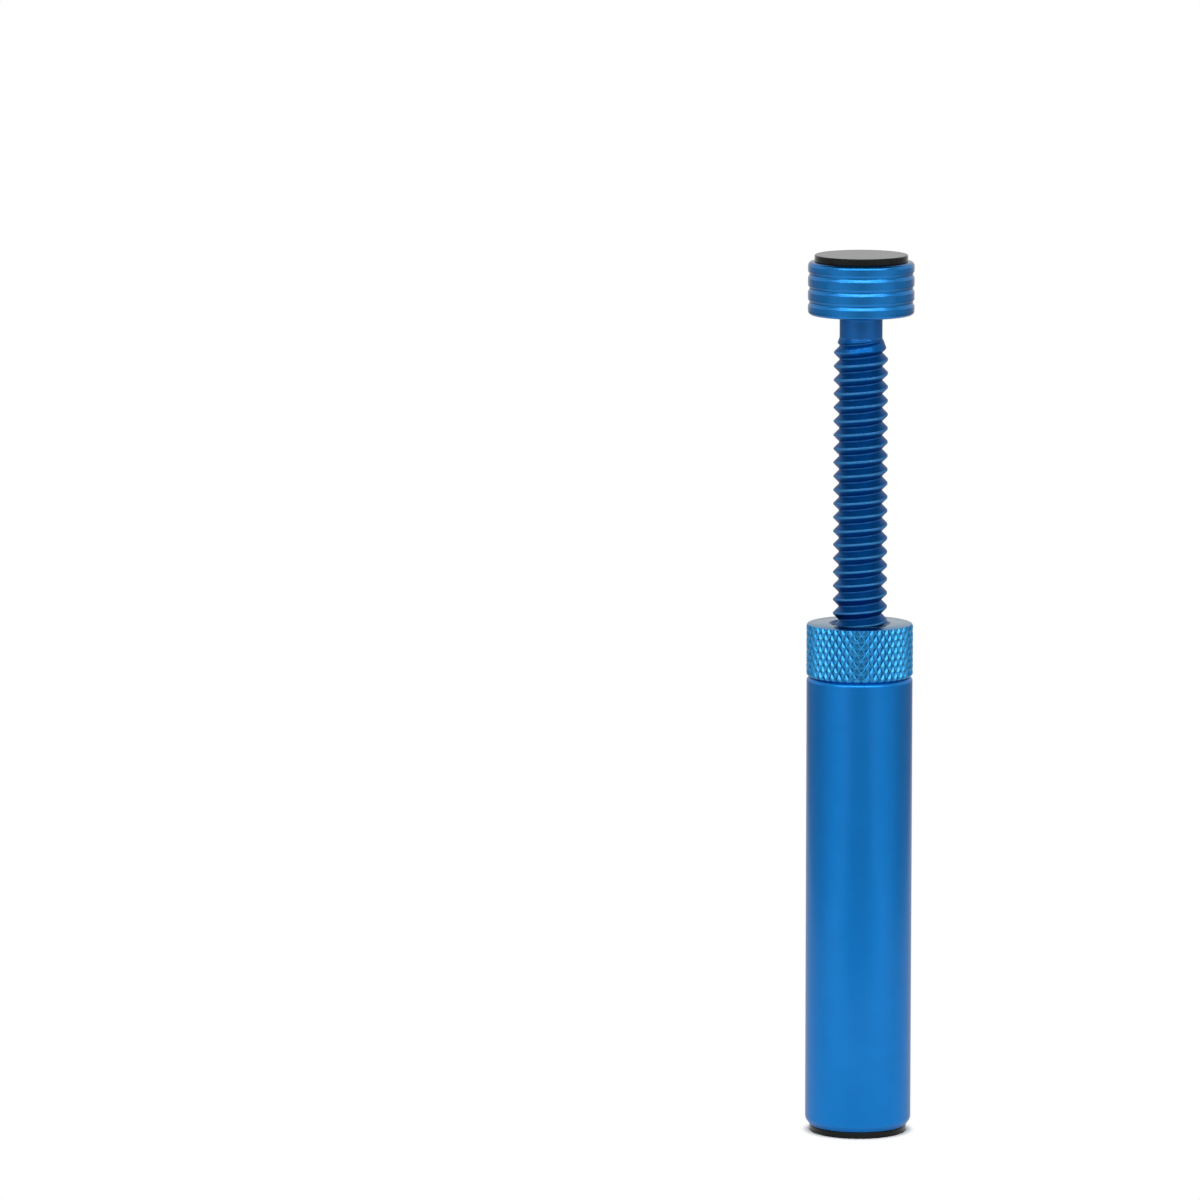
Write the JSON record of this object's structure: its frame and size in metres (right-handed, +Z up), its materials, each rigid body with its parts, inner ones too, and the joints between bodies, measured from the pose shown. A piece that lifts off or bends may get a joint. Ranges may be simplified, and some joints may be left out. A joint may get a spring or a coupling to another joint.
{
  "type": "graphics card support bracket",
  "caption": "Adjustable support post for a sagging graphics card: a knurled ring on a tube raises a jack screw whose grooved head carries a rubber pad.",
  "frame": {"origin": "centre of the foot pad's underside", "axes": "+Z up along the post towards the top pad, -Y towards the viewer of the picture"},
  "size_m": [0.0142, 0.0142, 0.1182],
  "materials": {
    "tube_blue": "blue anodised, satin",
    "ring_blue": "blue anodised, knurled",
    "screw_blue": "blue anodised, satin",
    "pad_black": "matt"
  },
  "bodies": {
    "post": {"post_tube": "tube_blue", "foot_pad": "pad_black"},
    "ring": {"knurled_ring": "ring_blue"},
    "screw": {"jack_screw": "screw_blue", "top_pad": "pad_black"}
  },
  "joints": [
    {"name": "ring_turn", "type": "hinge", "parent": "post", "child": "ring", "pos_m": [0, 0, 0.0616], "axis": [0, 0, 1], "range_deg": [0, 8061]},
    {"name": "screw_rise", "type": "slide", "parent": "post", "child": "screw", "axis": [0, 0, 1], "range_m": [-0.0412, 0]}
  ],
  "couplings": [
    {"joint": "ring_turn", "follows": "screw_rise", "rad_per_m": -3414.8}
  ]
}
